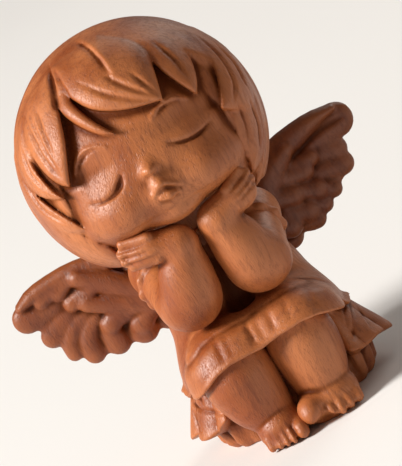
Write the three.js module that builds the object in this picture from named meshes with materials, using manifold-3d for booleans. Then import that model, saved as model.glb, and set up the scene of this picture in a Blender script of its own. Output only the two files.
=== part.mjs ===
// A palm-sized carved wooden cherub that sits with its elbows on its lap and its chin in its hands.
// It is glued up from eight carved blocks: a head, a dress with the trunk, two arms, two legs and two
// wings. Hidden round dowels hold the blocks together.
// Millimetres. +Z is up and the face looks along -Y, so the cherub's right hand is on the -X side.
// The origin is on the flat underside of the dress, below the middle of the trunk.
import * as THREE from "three";
import { mergeVertices } from "three/addons/utils/BufferGeometryUtils.js";
import Module from "manifold-3d";

const wasm = await Module();
wasm.setup();

// ---------------------------------------------------------------- driving dimensions
const HEIGHT = 75; // sole to crown
const HAIR_RADII = [21.9, 20.8, 21.5]; // half width, half depth and half height of the head of hair
const BASE_RADII = [13.8, 12]; // the dress where it rests on the table
const SKIRT_FLARE = 19; // widest radius of the skirt, just above the table
const FLARE_HEIGHT = 5.2; // height of that widest ring
const WAIST_HEIGHT = 24;
const WAIST_RADIUS = 12.4;
const LAP_TOP = 23; // where the elbows rest
const LAP_RADIUS = 8.6; // roundness of the cloth over the knees
const HEM_HEIGHT = 18.4; // front hem, over the knees
const SLIVER = 0.06; // facets that stand less than this off their neighbours are merged
const CRUMB = 1; // cubic millimetres
const GLUE_GAP = 0.3; // kept all round between one block and the next
const WOOD = { color: 0xa9643c, roughness: 0.55, metalness: 0 };
const DOWEL_WOOD = { color: 0xc79a6b, roughness: 0.7, metalness: 0 };

const HEAD = [-0.4, -2, HEIGHT - HAIR_RADII[2]];
const SKIRT_CENTRE_Y = 2;

// Joint centres and radii of the limbs: -1 is the cherub's right, +1 its left.
const ARMS = {
  "-1": {
    name: "right_arm",
    shoulder: [-10, 0.5, 33.2],
    elbow: [-7.1, -14, 28.4],
    wrist: [-3.6, -16.4, 38],
    knuckles: [-9.2, -15.6, 39.6],
    fingertips: [-11.6, -12.8, 40.4],
  },
  1: {
    name: "left_arm",
    shoulder: [10.6, 0.5, 33.2],
    elbow: [7.4, -14, 28.2],
    wrist: [4.1, -16.4, 38.4],
    knuckles: [8.6, -15.8, 41],
    fingertips: [12.4, -13.6, 42.8],
  },
};
const ARM_RADII = { shoulder: 4.2, elbow: 5.4, wrist: 3.2, knuckles: 2.8, fingertips: 2.1 };

const LEGS = {
  "-1": { name: "right_leg", hip: [-6, -2.5, 12.6], knee: [-6.1, -12.6, 12.8], ankle: [-4.3, -13.4, 5] },
  1: { name: "left_leg", hip: [6.3, -2.5, 12.6], knee: [6.3, -12.6, 12.8], ankle: [5.6, -13.4, 5] },
};
const LEG_RADII = { hip: 4.4, knee: 5.7, ankle: 4 };
const FEET = {
  "-1": { heel: [-4.2, -12.6, 2.6], toes: [-4.3, -17.2, 1.9] },
  1: { heel: [6, -12.6, 2.6], toes: [5, -17.2, 1.9] },
};
const FOOT_RADII = { heel: 3.9, toes: 3.7 };

// The wings grow from a boss on the back. Feather ends are given as distance out from the boss and
// height above it, for a wing that is not yet tilted or scaled.
const WINGS = {
  "-1": { name: "right_wing", tiltDeg: 0, scale: 1.03 },
  1: { name: "left_wing", tiltDeg: 5, scale: 0.98 },
};
const WING_ROOT = [5, 10.5, 32];
const WING_SWEEP = 0.2; // how far back the wing leans for each millimetre outwards
const FEATHER_ROWS = [
  // flight feathers, at the back
  {
    depth: 0,
    thickness: 2.2,
    width: 4.8,
    feathers: [
      [[8, 4.6], [27.4, 6]],
      [[10, 2.6], [30, 1.8]],
      [[10, 1], [27.4, -3.2]],
      [[9, 0], [24.6, -7.2]],
      [[8, -1], [21, -9.4]],
      [[7, -2], [17, -10.6]],
      [[5, -2], [12.8, -10.8]],
      [[2, -2], [8, -10.6]],
    ],
  },
  // long coverts
  {
    depth: 1.3,
    thickness: 1.6,
    width: 4.6,
    feathers: [
      [[6, 3.6], [20.5, 3.8]],
      [[6, 2], [17.6, -0.6]],
      [[5, 0], [14.6, -4]],
      [[3, -1], [10.6, -6.6]],
    ],
  },
  // short coverts
  {
    depth: 2.5,
    thickness: 1.5,
    width: 4.2,
    feathers: [
      [[2, 3.4], [14.6, 3.4]],
      [[2, 1], [11.4, 0]],
      [[1, -1], [8.4, -3.2]],
    ],
  },
];

// Locks of the fringe, each from its root to its tip. Positions are sideways and upwards from the
// middle of the head, seen from in front and a little above.
const FRINGE_VIEW_DEG = 12;
const LOCKS = [
  { root: [-1, 18.6], tip: [7, 5.1], width: 6.4 },
  { root: [-8.7, 14.6], tip: [-2.6, 3.9], width: 2.6 },
  { root: [-9, 18.6], tip: [-13.8, 0.2], width: 4.6 },
  { root: [-15, 12.4], tip: [-15.5, -0.8], width: 3.4 },
  { root: [-19, 4.6], tip: [-15, -7.4], width: 3.6 },
  { root: [6, 17], tip: [12, 2.9], width: 5.6 },
  { root: [14.6, 12.6], tip: [14.2, -1.2], width: 4.6 },
  { root: [18.6, 6], tip: [15.4, -8], width: 4.2 },
];
const LOCK_THICKNESS = 1.5;

// ---------------------------------------------------------------- solids
const vector = (point) => new THREE.Vector3(...point);
const between = (a, b, share) => a.map((value, i) => value + (b[i] - value) * share);

function solidOf(geometry) {
  const loose = geometry.index ? geometry.toNonIndexed() : geometry;
  const bare = new THREE.BufferGeometry().setAttribute("position", loose.getAttribute("position"));
  const merged = mergeVertices(bare, 1e-4);
  const corners = merged.index.array;
  const faces = [];
  for (let i = 0; i < corners.length; i += 3) {
    const [a, b, c] = corners.slice(i, i + 3);
    if (a !== b && b !== c && c !== a) faces.push(a, b, c);
  }
  const mesh = new wasm.Mesh({
    numProp: 3,
    vertProperties: merged.attributes.position.array,
    triVerts: new Uint32Array(faces),
  });
  return new wasm.Manifold(mesh);
}

const union = (solids) => solids.reduce((sum, solid) => sum.add(solid));
const cut = (block, tools) => tools.reduce((rest, tool) => rest.subtract(tool), block);

// One sound block: slivers and crumbs are left out, and a hollow shut inside the wood is filled.
function soundBlock(solid) {
  const bodies = solid.simplify(SLIVER).decompose();
  return union(bodies.filter((body) => body.volume() > CRUMB));
}

// axes, when given, are the directions that the three radii follow.
function ellipsoid(centre, radii, axes = null, across = 12, down = 8) {
  const geometry = new THREE.SphereGeometry(1, across, down).scale(...radii);
  if (axes) geometry.applyMatrix4(new THREE.Matrix4().makeBasis(...axes));
  return solidOf(geometry.translate(...centre));
}

const box = (centre, size) => solidOf(new THREE.BoxGeometry(...size).translate(...centre));

// A lathed profile of [radius, height] pairs, turned about a line from start towards end.
function turned(profile, start, end, sides) {
  const points = profile.map(([radius, height]) => new THREE.Vector2(Math.max(radius, 0), height));
  const along = vector(end).sub(vector(start)).normalize();
  const turn = new THREE.Quaternion().setFromUnitVectors(new THREE.Vector3(0, 1, 0), along);
  const geometry = new THREE.LatheGeometry(points, sides).applyQuaternion(turn);
  return solidOf(geometry.translate(...start));
}

// Two balls joined by the cone that touches both.
function limb(start, startRadius, end, endRadius, sides = 10) {
  const length = vector(start).distanceTo(vector(end));
  const lean = Math.asin((startRadius - endRadius) / length);
  const quarter = Math.PI / 2;
  const steps = 2;
  const profile = [];
  for (let i = 0; i <= steps; i++) {
    const angle = -quarter + ((quarter + lean) * i) / steps;
    profile.push([startRadius * Math.cos(angle), startRadius * Math.sin(angle)]);
  }
  for (let i = 0; i <= steps; i++) {
    const angle = lean + ((quarter - lean) * i) / steps;
    profile.push([endRadius * Math.cos(angle), length + endRadius * Math.sin(angle)]);
  }
  profile[0][0] = 0;
  profile[profile.length - 1][0] = 0;
  return turned(profile, start, end, sides);
}

// A plain rod with flat ends.
function rod(start, end, radius, sides = 12) {
  const length = vector(start).distanceTo(vector(end));
  return turned([[0, 0], [radius, 0], [radius, length], [0, length]], start, end, sides);
}

// ---------------------------------------------------------------- dowels
const DOWELS = [
  { name: "neck_dowel", start: [0, 1.5, 25], end: [0, 1.5, 47], radius: 2, joins: ["dress", "head"] },
];
for (const side of [-1, 1]) {
  const word = side < 0 ? "right" : "left";
  DOWELS.push({
    name: `${word}_shoulder_dowel`,
    start: [side * 6.6, 0.5, 33.2],
    end: [side * 12, 0.5, 33.2],
    radius: 1.3,
    joins: ["dress", `${word}_arm`],
  });
  DOWELS.push({
    name: `${word}_hip_dowel`,
    start: [side * 6.1, -8, 12.6],
    end: [side * 6.1, 5, 12.6],
    radius: 1.6,
    joins: ["dress", `${word}_leg`],
  });
  for (const [word2, height] of [["upper", 34.2], ["lower", 27.4]]) {
    DOWELS.push({
      name: `${word}_wing_${word2}_dowel`,
      start: [side * 5.2, 5.4, height],
      end: [side * 5.2, 12.2, height],
      radius: 1.1,
      joins: ["dress", `${word}_wing`],
    });
  }
}

const dowelHolesIn = (block) =>
  DOWELS.filter((dowel) => dowel.joins.includes(block)).map((dowel) => {
    const along = vector(dowel.end).sub(vector(dowel.start)).normalize().multiplyScalar(GLUE_GAP);
    const start = vector(dowel.start).sub(along).toArray();
    const end = vector(dowel.end).add(along).toArray();
    return rod(start, end, dowel.radius + GLUE_GAP);
  });

// ---------------------------------------------------------------- arms
function arm(side, grow = 0) {
  const { shoulder, elbow, wrist, knuckles, fingertips } = ARMS[side];
  const radius = (joint) => ARM_RADII[joint] + grow;
  const palm = limb(wrist, radius("wrist"), knuckles, radius("knuckles"));
  const fingers = limb(knuckles, radius("knuckles"), fingertips, radius("fingertips"));
  const forearm = limb(elbow, radius("elbow"), wrist, radius("wrist"));
  const upperArm = limb(shoulder, radius("shoulder"), elbow, radius("elbow"));
  return union([forearm, upperArm, palm, fingers]);
}

// ---------------------------------------------------------------- legs
const aboveTable = () => box([0, 0, HEIGHT / 2], [2 * HEIGHT, 2 * HEIGHT, HEIGHT]);

function leg(side, grow = 0) {
  const { hip, knee, ankle } = LEGS[side];
  const { heel, toes } = FEET[side];
  const thigh = limb(hip, LEG_RADII.hip + grow, knee, LEG_RADII.knee + grow);
  const shin = limb(knee, LEG_RADII.knee + grow, ankle, LEG_RADII.ankle + grow);
  const foot = limb(heel, FOOT_RADII.heel + grow, toes, FOOT_RADII.toes + grow);
  const whole = union([thigh, shin, foot]);
  return grow ? whole : whole.intersect(aboveTable());
}

// Five toes, parted by four shallow cuts in the front of the foot.
function toeCuts(side) {
  const { toes } = FEET[side];
  const pitch = (2 * FOOT_RADII.toes) / 5;
  return [-1.5, -0.5, 0.5, 1.5].map((step) => {
    const x = toes[0] + step * pitch;
    return rod([x, toes[1] - FOOT_RADII.toes - 1, 0.6], [x, toes[1] - 1.4, 4.6], 0.35, 6);
  });
}

// ---------------------------------------------------------------- wings
// A flat blade with a round end, from base to tip in the wing's own plane.
function feather(base, tip, width, thickness) {
  const length = Math.hypot(tip[0] - base[0], tip[1] - base[1]);
  const half = width / 2;
  const outline = new THREE.Shape();
  outline.moveTo(-half * 0.6, 0);
  outline.lineTo(-half, (length - half) * 0.6);
  outline.lineTo(-half, length - half);
  outline.absarc(0, length - half, half, Math.PI, 0, true);
  outline.lineTo(half, (length - half) * 0.6);
  outline.lineTo(half * 0.6, 0);
  const blade = { depth: thickness, bevelEnabled: false, curveSegments: 3 };
  const turn = Math.atan2(tip[1] - base[1], tip[0] - base[0]) - Math.PI / 2;
  return new THREE.ExtrudeGeometry(outline, blade).rotateZ(turn).translate(base[0], base[1], 0);
}

// Takes a blade from the wing's plane, where x is outwards, y upwards and z forwards, to its place.
function wingPlace(side) {
  const { tiltDeg, scale } = WINGS[side];
  const tilt = new THREE.Matrix4().makeRotationZ(THREE.MathUtils.degToRad(tiltDeg));
  const size = new THREE.Matrix4().makeScale(scale, scale, 1);
  const stand = new THREE.Matrix4().set(
    side, 0, 0, side * WING_ROOT[0],
    WING_SWEEP, 0, -1, WING_ROOT[1],
    0, 1, 0, WING_ROOT[2],
    0, 0, 0, 1,
  );
  return stand.multiply(tilt).multiply(size);
}

function faceOutwards(geometry) {
  const points = geometry.getAttribute("position");
  for (let i = 0; i < points.count; i += 3) {
    const [b, c] = [i + 1, i + 2].map((k) => new THREE.Vector3().fromBufferAttribute(points, k));
    points.setXYZ(i + 1, ...c.toArray());
    points.setXYZ(i + 2, ...b.toArray());
  }
  return geometry;
}

// The rounded root of the wing, let into the back.
function wingBoss(side, grow = 0) {
  const [x, y, z] = WING_ROOT;
  return ellipsoid([side * (x + 0.5), y + 0.6, z - 1.4], [4.2 + grow, 3.2 + grow, 7.4 + grow]);
}

function wing(side) {
  const place = wingPlace(side);
  const onWing = (out, up, forward) => vector([out, up, forward]).applyMatrix4(place).toArray();
  const pieces = [];
  for (const { depth, thickness, width, feathers } of FEATHER_ROWS)
    for (const [base, tip] of feathers) {
      const blade = feather(base, tip, width, thickness).translate(0, 0, depth - thickness / 2);
      const placed = blade.applyMatrix4(place);
      pieces.push(solidOf(place.determinant() < 0 ? faceOutwards(placed) : placed));
    }
  const wristOfWing = onWing(16, 5.6, 0.6);
  const armBone = limb(onWing(0, 1, 0.4), 2.8, wristOfWing, 2);
  const leadingEdge = limb(wristOfWing, 2, onWing(25, 6.8, 0), 1.4);
  const feathers = union([armBone, leadingEdge, ...pieces]);
  const clearOfBack = cut(feathers, [skirt(GLUE_GAP), trunk(GLUE_GAP)]);
  return union([wingBoss(side), clearOfBack]).subtract(hairBall(GLUE_GAP));
}

// ---------------------------------------------------------------- head
// A point on the hair, found from its place in a view from in front and a little above.
function onHair(sideways, upwards, share = 1) {
  const radius = HAIR_RADII[2];
  const forwards = Math.sqrt(Math.max(radius ** 2 - sideways ** 2 - upwards ** 2, 0.01));
  const view = THREE.MathUtils.degToRad(FRINGE_VIEW_DEG);
  const y = upwards * Math.sin(view) - forwards * Math.cos(view);
  const z = upwards * Math.cos(view) + forwards * Math.sin(view);
  return [HEAD[0] + sideways * share, HEAD[1] + y * share, HEAD[2] + z * share];
}

function lock({ root, tip, width }) {
  const [start, end] = [vector(onHair(...root, 0.97)), vector(onHair(...tip, 0.97))];
  const centre = start.clone().add(end).divideScalar(2);
  const along = end.clone().sub(start);
  const outwards = centre.clone().sub(vector(HEAD)).normalize();
  const length = along.length();
  along.normalize();
  outwards.addScaledVector(along, -outwards.dot(along)).normalize();
  const across = new THREE.Vector3().crossVectors(along, outwards);
  const bulge = length ** 2 / (8 * HAIR_RADII[2]); // a chord lies this far under the round of the head
  const middle = centre.addScaledVector(outwards, bulge * 0.6).toArray();
  return ellipsoid(middle, [width / 2, length / 2, LOCK_THICKNESS + bulge * 0.4], [across, along, outwards], 8, 6);
}

const NECK = { start: [0, 1.5, 34.5], end: [0, 1, 44], radius: 5.4 };
const neck = (grow = 0) => {
  const [x, y, z] = NECK.start;
  return rod([x, y, z - grow], NECK.end, NECK.radius + grow, 16);
};

function hairBall(grow = 0) {
  const radii = HAIR_RADII.map((radius) => radius + grow);
  return ellipsoid(HEAD, radii, null, 24, 16);
}

function head() {
  const [x, y, z] = HEAD;
  const hair = hairBall();
  const belowHair = box([x, y, z - 25.5], [60, 60, 20]);
  const faceOpening = ellipsoid([x - 0.5, y - 19, z - 7], [15.6, 13, 14.6], null, 16, 10);
  const napeHollow = ellipsoid([x, y - 6, z - 19], [13, 12, 9]);
  const skull = ellipsoid([x - 0.5, y - 1.6, z - 1.6], [17.2, 17, 13], null, 16, 10);
  const cheeks = [-1, 1].map((side) => ellipsoid([x - 0.5 + side * 7.4, y - 9, z - 6.6], [8.4, 8.6, 6.8]));
  const chin = ellipsoid([x - 0.4, y - 12.4, z - 10], [4.6, 5, 3.4]);
  const nose = ellipsoid([x - 0.7, y - 18.7, z - 2.2], [1.4, 1.4, 1.1], null, 8, 6);
  const lips = ellipsoid([x - 0.3, y - 18, z - 5.4], [1.7, 1.1, 1.2], null, 8, 6);
  const face = union([skull, ...cheeks, chin, nose, lips]);
  const top = union([hair.subtract(faceOpening), face, ...LOCKS.map(lock)]);
  return cut(top, [belowHair, napeHollow, upperBody(GLUE_GAP)]).add(neck());
}

// ---------------------------------------------------------------- dress and trunk
function skirt(grow = 0) {
  const [baseRadius] = BASE_RADII;
  const profile = [
    [0, 0],
    [baseRadius, 0],
    [baseRadius + 2.6, 1.8],
    [SKIRT_FLARE, FLARE_HEIGHT],
    [SKIRT_FLARE - 1.6, 9],
    [15, 15],
    [WAIST_RADIUS, WAIST_HEIGHT],
    [9.4, 31],
    [0, 33],
  ];
  const squash = BASE_RADII[1] / BASE_RADII[0];
  const points = profile.map(([radius, height]) => new THREE.Vector2(radius && radius + grow, height));
  const geometry = new THREE.LatheGeometry(points, 28).rotateX(Math.PI / 2).scale(1, squash, 1);
  return solidOf(geometry.translate(0, SKIRT_CENTRE_Y, 0));
}

// The turned-up edge of the dress, a flat strip that follows the front hem from side to side.
function hemBand() {
  const line = new THREE.CatmullRomCurve3(
    [[-16.4, -4, 13.6], [-13.8, -13, 17.4], [-7.4, -18.8, 20], [0, -19.6, 20.4]]
      .concat([[7.6, -19, 20.4], [14.4, -13, 18.2], [17, -4, 14.8]])
      .map(vector),
  );
  const section = new THREE.Shape();
  section.moveTo(-0.9, -1.9);
  section.lineTo(0.9, -1.9);
  section.lineTo(0.9, 1.9);
  section.lineTo(-0.9, 1.9);
  return solidOf(new THREE.ExtrudeGeometry(section, { extrudePath: line, steps: 12 }));
}

const trunk = (grow = 0) => limb([0, 2.6, 24], 11.2 + grow, [0, 2.4, 30.4], 7.6 + grow, 16);
const shoulders = (grow = 0) => limb([-9.8, 0.8, 32.2], 5 + grow, [10.2, 0.8, 32.2], 5 + grow, 14);

// The gathered end of a short sleeve, round the upper arm.
function sleeve(side, grow = 0) {
  const { shoulder, elbow } = ARMS[side];
  const profile = [
    [0, -1],
    [5 + grow, -1 - grow],
    [6 + grow, 2.4],
    [5.4 + grow, 4.4 + grow],
    [0, 4.4 + grow],
  ];
  return turned(profile, shoulder, elbow, 14);
}

const upperBody = (grow = 0) => union([trunk(grow), shoulders(grow), sleeve(-1, grow), sleeve(1, grow)]);

function dress() {
  const knees = LAP_TOP - LAP_RADIUS;
  const lap = limb([-6.2, -11, knees], LAP_RADIUS, [6.6, -11, knees], LAP_RADIUS, 20);
  const thighs = limb([0, -11, knees], LAP_RADIUS, [0, 2, knees + 2], WAIST_RADIUS, 20);
  const legBay = box([0.2, -17, HEM_HEIGHT / 2 - 1], [25.2, 17, HEM_HEIGHT + 2]);
  const cloth = cut(union([skirt(), lap, thighs]), [legBay]);
  return union([cloth, upperBody(), hemBand()]);
}

// ---------------------------------------------------------------- cutting the blocks to one another
const SIDES = [-1, 1];
const grownArms = union(SIDES.map((side) => arm(side, GLUE_GAP)));
const grownLegs = union(SIDES.map((side) => leg(side, GLUE_GAP)));
const grownBosses = union(SIDES.map((side) => wingBoss(side, GLUE_GAP)));

const blocks = {};
blocks.head = cut(head(), [grownArms, ...dowelHolesIn("head")]);
blocks.dress = cut(dress(), [grownArms, grownLegs, grownBosses, neck(GLUE_GAP), ...dowelHolesIn("dress")]);
for (const side of SIDES) {
  const armName = ARMS[side].name;
  const legName = LEGS[side].name;
  const wingName = WINGS[side].name;
  blocks[armName] = cut(arm(side), dowelHolesIn(armName));
  blocks[legName] = cut(leg(side), [...toeCuts(side), ...dowelHolesIn(legName)]);
  blocks[wingName] = cut(wing(side), dowelHolesIn(wingName));
}
for (const name of Object.keys(blocks)) blocks[name] = soundBlock(blocks[name]);
for (const { name, start, end, radius } of DOWELS) blocks[name] = rod(start, end, radius);

// ---------------------------------------------------------------- the assembly
function meshOf(name, solid, material) {
  const { numProp, vertProperties, triVerts } = solid.getMesh();
  const count = vertProperties.length / numProp;
  const points = new Float32Array(count * 3);
  for (let i = 0; i < count; i++) points.set(vertProperties.subarray(i * numProp, i * numProp + 3), i * 3);
  const geometry = new THREE.BufferGeometry();
  geometry.setAttribute("position", new THREE.BufferAttribute(points, 3));
  geometry.setIndex(new THREE.BufferAttribute(triVerts, 1));
  geometry.computeVertexNormals();
  const mesh = new THREE.Mesh(geometry, new THREE.MeshStandardMaterial({ ...material, flatShading: true }));
  mesh.name = name;
  return mesh;
}

const cherub = new THREE.Group();
for (const [name, solid] of Object.entries(blocks)) {
  const material = name.endsWith("dowel") ? DOWEL_WOOD : WOOD;
  cherub.add(meshOf(name, solid, material));
}
export default cherub;
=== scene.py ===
"""A carved wooden cherub that sits with its chin in its hands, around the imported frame.

Each block of wood is sculpted as a field of distances on a grid, negative inside the wood, which is
added to and cut like clay, and then turned into a mesh. Sculpting is in millimetres, in the frame's
axes: +X is the cherub's left, -Y its front and +Z up. Blender gets metres.
"""
from collections import namedtuple
from copy import copy
from itertools import product
from math import cos, pi, radians, sin

import bpy
import numpy as np
from mathutils import Matrix, Quaternion, Vector


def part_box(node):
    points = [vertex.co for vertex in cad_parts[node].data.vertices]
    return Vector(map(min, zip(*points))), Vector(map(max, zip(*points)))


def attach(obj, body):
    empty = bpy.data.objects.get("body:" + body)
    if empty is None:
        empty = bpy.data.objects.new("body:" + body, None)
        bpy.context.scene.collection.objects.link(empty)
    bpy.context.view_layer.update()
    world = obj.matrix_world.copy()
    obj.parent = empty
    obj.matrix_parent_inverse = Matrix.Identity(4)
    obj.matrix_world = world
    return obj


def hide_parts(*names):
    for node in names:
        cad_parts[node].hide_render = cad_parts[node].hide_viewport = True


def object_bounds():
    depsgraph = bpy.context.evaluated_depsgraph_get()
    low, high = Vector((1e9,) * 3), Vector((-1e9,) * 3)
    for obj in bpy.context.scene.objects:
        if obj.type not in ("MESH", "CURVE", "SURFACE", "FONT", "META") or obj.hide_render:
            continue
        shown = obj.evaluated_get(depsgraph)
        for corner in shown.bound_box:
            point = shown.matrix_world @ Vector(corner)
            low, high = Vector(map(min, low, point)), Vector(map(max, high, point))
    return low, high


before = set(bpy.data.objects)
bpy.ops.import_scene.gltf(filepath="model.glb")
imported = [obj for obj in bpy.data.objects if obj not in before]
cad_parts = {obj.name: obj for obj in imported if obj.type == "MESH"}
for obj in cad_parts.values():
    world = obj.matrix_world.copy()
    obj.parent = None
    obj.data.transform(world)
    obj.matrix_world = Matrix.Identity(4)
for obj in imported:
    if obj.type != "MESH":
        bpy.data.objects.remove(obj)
CAD_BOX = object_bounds()

MM = 0.001
STEP = 0.3  # spacing of the sculpting grid
FAR = 6.0  # what a field says well away from the wood
BEYOND = 60.0  # farther out than any block reaches from its origin
AXES = np.eye(3, dtype=int)
CORNERS = list(product((0, 1), repeat=3))
SIDES = {-1: "right", 1: "left"}  # the cherub's own right and left, by the sign of X
LINE_POINTS = 24  # in a line drawn on the wood

# ---- clay
Shape = namedtuple("Shape", "low high distance")


def soft_min(a, b, blend):
    """The lesser of two fields, with a fillet of about the blend's size where they meet."""
    if blend <= 0:
        return np.minimum(a, b)
    overlap = np.maximum(blend - np.abs(a - b), 0) / blend
    return np.minimum(a, b) - overlap * overlap * blend / 4


class Clay:
    """One block: distances from its surface, sampled on a grid that fills a box."""

    def __init__(self, low, high):
        self.low = np.array(low, float) - 3 * STEP
        count = np.ceil((np.array(high) - self.low) / STEP).astype(int) + 4
        self.field = np.full(count, FAR, np.float32)

    def window(self, low, high):
        """The part of the grid in a box: its slices, and the x, y and z of its samples."""
        first = np.floor((np.array(low) - self.low) / STEP).astype(int)
        last = np.ceil((np.array(high) - self.low) / STEP).astype(int) + 1
        first = np.clip(first, 0, self.field.shape)
        last = np.clip(last, first, self.field.shape)
        axes = [(self.low[i] + STEP * np.arange(first[i], last[i])).astype(np.float32) for i in range(3)]
        slices = tuple(slice(a, b) for a, b in zip(first, last))
        return slices, np.meshgrid(*axes, indexing="ij", sparse=True)

    def reach(self, shape, blend):
        margin = blend + 3 * STEP
        return self.window(np.array(shape.low) - margin, np.array(shape.high) + margin)

    def add(self, shape, blend=0.0, sign=1):
        slices, xyz = self.reach(shape, blend)
        here = sign * self.field[slices]
        if here.size:
            self.field[slices] = sign * soft_min(here, shape.distance(*xyz), blend)

    def cut(self, shape, blend=0.0):
        self.add(shape, blend, -1)

    def join(self, shapes, blend=0.0, cut=False):
        """Adds or cuts several shapes as one, so that there is no fillet where they overlap."""
        low = np.min([shape.low for shape in shapes], axis=0)
        high = np.max([shape.high for shape in shapes], axis=0)
        whole = self.reach(Shape(low, high, None), blend)[0]
        part = np.full(tuple(w.stop - w.start for w in whole), FAR, np.float32)
        for shape in shapes:
            slices, xyz = self.reach(shape, blend)
            local = tuple(slice(s.start - w.start, s.stop - w.start) for s, w in zip(slices, whole))
            if part[local].size:
                part[local] = np.minimum(part[local], shape.distance(*xyz))
        sign = -1 if cut else 1
        self.field[whole] = sign * soft_min(sign * self.field[whole], part, blend)

    def sample(self, points):
        """The field at any points, between the samples of the grid."""
        place = (np.asarray(points, float) - self.low) / STEP
        place = np.clip(place, 0, np.array(self.field.shape) - 1.001)
        cell = np.floor(place).astype(int)
        share = place - cell
        total = np.zeros(len(place))
        for corner in CORNERS:
            weight = np.where(corner, share, 1 - share).prod(axis=1)
            total += weight * self.field[tuple((cell + corner).T)]
        return total

    def hit(self, points, direction):
        """Where rays from outside, all in one direction, first meet the surface."""
        direction = np.array(direction, float) / np.linalg.norm(direction)
        points = np.array(points, float)
        found = np.full(len(points), np.nan)
        stride = STEP * 0.7
        before = np.full(len(points), FAR)
        for travelled in np.arange(0, BEYOND, stride):
            level = self.sample(points + direction * travelled)
            share = level / np.maximum(before - level, 1e-6)
            found = np.where(np.isnan(found) & (level < 0), travelled + share * stride, found)
            before = level
        if np.isnan(found).all():
            return points[:0]
        found = np.where(np.isnan(found), np.nanmedian(found), found)
        return points + direction * found[:, None]


# ---- shapes
def ellipsoid(centre, radii):
    centre, radii = np.array(centre, float), np.array(radii, float)

    def distance(x, y, z):
        parts = [(value - middle) / radius for value, middle, radius in zip((x, y, z), centre, radii)]
        near = np.sqrt(sum(part**2 for part in parts))
        slope = np.sqrt(sum((part / radius) ** 2 for part, radius in zip(parts, radii)))
        return near * (near - 1) / np.maximum(slope, 1e-4)

    return Shape(centre - radii, centre + radii, distance)


def dot(xyz, axis):
    return xyz[0] * axis[0] + xyz[1] * axis[1] + xyz[2] * axis[2]


def from_segment(xyz, start, along):
    """The share of a straight line at which it is nearest, and the offset from that point."""
    xyz = [value - first for value, first in zip(xyz, start)]
    share = np.clip(dot(xyz, along) / max(along @ along, 1e-6), 0, 1)
    return share, [value - share * part for value, part in zip(xyz, along)]


def between(start, end, radius, distance):
    return Shape(np.minimum(start, end) - radius, np.maximum(start, end) + radius, distance)


def limb(start, start_radius, end, end_radius):
    """Two balls and the cone between them."""
    start, end = np.array(start, float), np.array(end, float)

    def distance(*xyz):
        share, offset = from_segment(xyz, start, end - start)
        return np.sqrt(dot(offset, offset)) - (start_radius + share * (end_radius - start_radius))

    return between(start, end, max(start_radius, end_radius), distance)


def slab(low, high):
    """A box with its faces along the axes."""
    low, high = np.array(low, float), np.array(high, float)
    middle, half = (low + high) / 2, (high - low) / 2

    def distance(x, y, z):
        x, y, z = np.abs(x - middle[0]), np.abs(y - middle[1]), np.abs(z - middle[2])
        return np.maximum(np.maximum(x - half[0], y - half[1]), z - half[2])

    return Shape(low, high, distance)


def curve(points, count=LINE_POINTS):
    """A smooth line through a few points (Catmull-Rom)."""
    points = np.array(points, float)
    padded = np.vstack([2 * points[0] - points[1], points, 2 * points[-1] - points[-2]])
    spans = len(points) - 1
    place = np.linspace(0, spans, count)
    span = np.minimum(place.astype(int), spans - 1)
    t = (place - span)[:, None]
    a, b, c, d = (padded[span + i] for i in range(4))
    return 0.5 * (
        2 * b + (c - a) * t + (2 * a - 5 * b + 4 * c - d) * t**2 + (3 * b - a - 3 * c + d) * t**3
    )


def taper(shares, values):
    """Values given at a few shares of a length, as a function of the share."""
    return lambda share: np.interp(share, shares, values)


def tube(clay, line, radii, blend=0.0, cut=False):
    """A round bead, or a round-bottomed groove, along a line of points."""
    shares = np.linspace(0, 1, len(line))
    sizes = radii(shares) if callable(radii) else np.full(len(line), radii)
    limbs = [limb(line[i], sizes[i], line[i + 1], sizes[i + 1]) for i in range(len(line) - 1)]
    clay.join(limbs, blend, cut)


def blade(start, end, widths, half_thickness):
    """A flat limb that faces forwards, as a feather does. Both widths are half widths."""
    start, end = np.array(start, float), np.array(end, float)

    def distance(*xyz):
        share, (across, height, up) = from_segment(xyz, start, end - start)
        across = np.sqrt(across**2 + up**2)
        width = widths[0] + share * (widths[1] - widths[0])
        near = np.sqrt((across / width) ** 2 + (height / half_thickness) ** 2)
        slope = np.sqrt((across / width**2) ** 2 + (height / half_thickness**2) ** 2)
        return near * (near - 1) / np.maximum(slope, 1e-4)

    return between(start, end, max(widths), distance)


def outline_distance(across, up, outline):
    """Distance from a closed outline in a plane, negative inside it."""
    nearest = np.full(np.broadcast(across, up).shape, 1e6, np.float32)
    inside = np.zeros(nearest.shape, bool)
    for (ax, ay), (bx, by) in zip(outline, np.roll(outline, -1, axis=0)):
        ex, ey = bx - ax, by - ay
        wx, wy = across - ax, up - ay
        share = np.clip((wx * ex + wy * ey) / max(ex * ex + ey * ey, 1e-9), 0, 1)
        nearest = np.minimum(nearest, (wx - ex * share) ** 2 + (wy - ey * share) ** 2)
        if ay != by:
            inside ^= ((up >= ay) != (up >= by)) & (wx < ex * wy / ey)
    return np.sqrt(nearest) * np.where(inside, -1, 1)


def ease(value, low, high):
    """Nought below low and one above high, with a smooth rise between."""
    share = np.clip((value - low) / (high - low), 0, 1)
    return share * share * (3 - 2 * share)


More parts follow.
